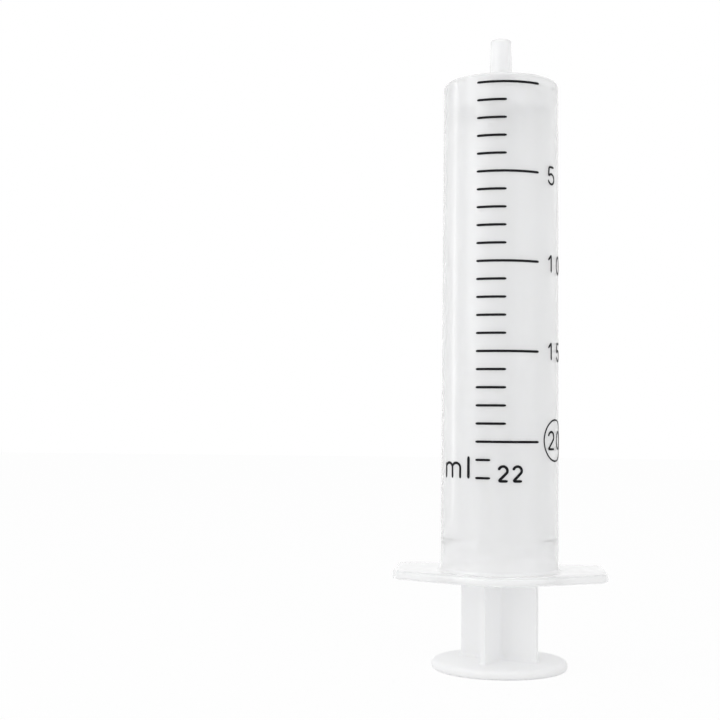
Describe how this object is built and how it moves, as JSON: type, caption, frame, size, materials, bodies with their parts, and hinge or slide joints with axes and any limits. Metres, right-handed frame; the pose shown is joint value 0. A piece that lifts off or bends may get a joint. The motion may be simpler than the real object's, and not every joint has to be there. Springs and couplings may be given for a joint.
{
  "type": "eccentric tip syringe",
  "caption": "Two-part disposable 20 ml syringe with an off-centre slip tip, shaped finger flange, printed scale and sliding ribbed plunger.",
  "frame": {"origin": "centre of the underside of the thumb disc, on the surface the syringe stands on", "axes": "+Z along the bore from the thumb disc to the nozzle; the scale faces -Y and the nozzle stands on the +Y side of the axis; the finger flange is longest along X"},
  "size_m": [0.0394, 0.0259, 0.1189],
  "materials": {
    "barrel": "clear, slightly hazy polypropylene",
    "plunger": "milky white polyethylene",
    "scale_ink": "black screen-printed ink"
  },
  "bodies": {
    "barrel": {"barrel": "barrel", "graduation_marks": "scale_ink"},
    "plunger": {"plunger": "plunger"}
  },
  "joints": [
    {"name": "barrel_slide", "type": "slide", "parent": "plunger", "child": "barrel", "axis": [0, 0, 1], "range_m": [0, 0.0786]}
  ]
}
